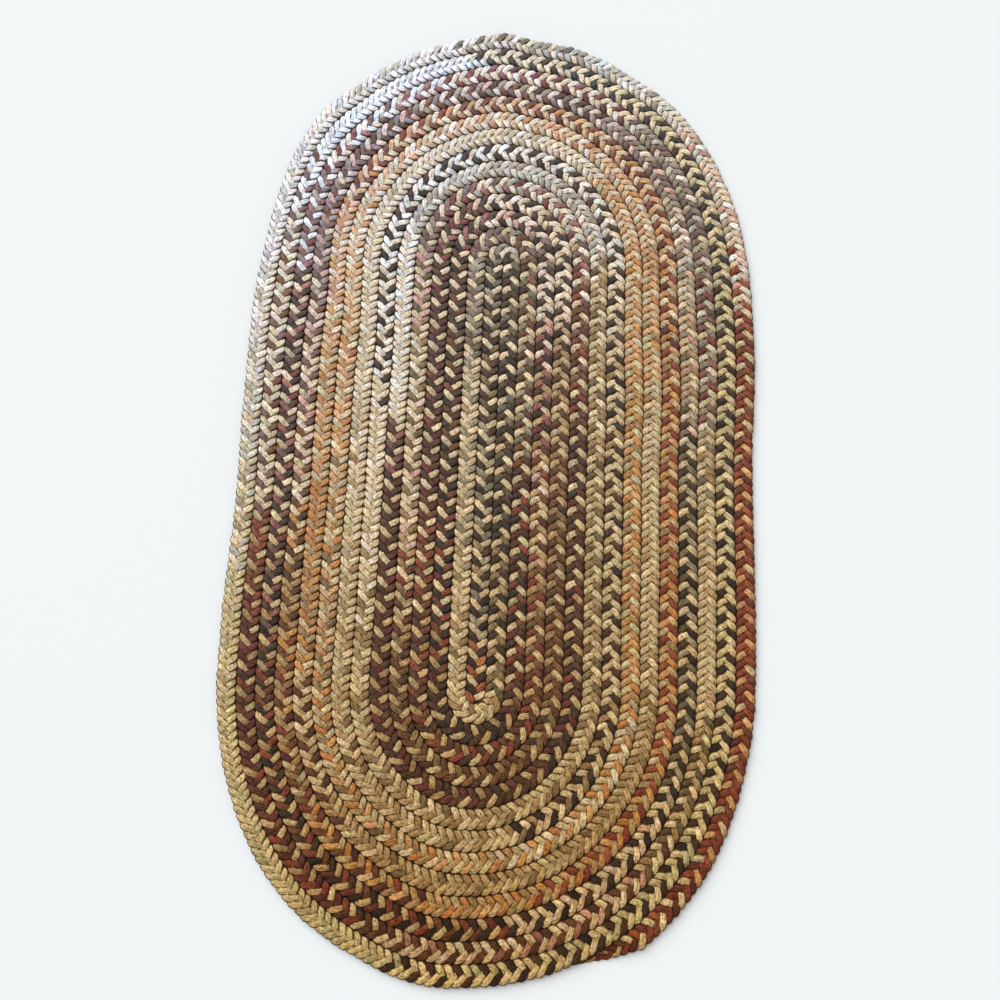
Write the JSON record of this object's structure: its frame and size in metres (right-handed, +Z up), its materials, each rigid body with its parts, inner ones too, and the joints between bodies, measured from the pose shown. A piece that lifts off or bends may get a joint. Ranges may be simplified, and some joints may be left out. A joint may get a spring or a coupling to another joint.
{
  "type": "braided rug",
  "caption": "Flat oval floor rug of a thick wool-look braid, wound in a spiral and laced edge to edge, in mottled earth colours.",
  "frame": {"origin": "centre of the bounding box on the flat underside, where the rug lies on the floor", "axes": "+Z up out of the rug's upper side, +Y along its length towards the far end, +X to the right"},
  "size_m": [0.6956, 1.3114, 0.0095],
  "materials": {
    "braided_wool": "matt, soft, heathered wool in many colours"
  },
  "bodies": {
    "root": {"braided_rug": "braided_wool"}
  },
  "joints": []
}
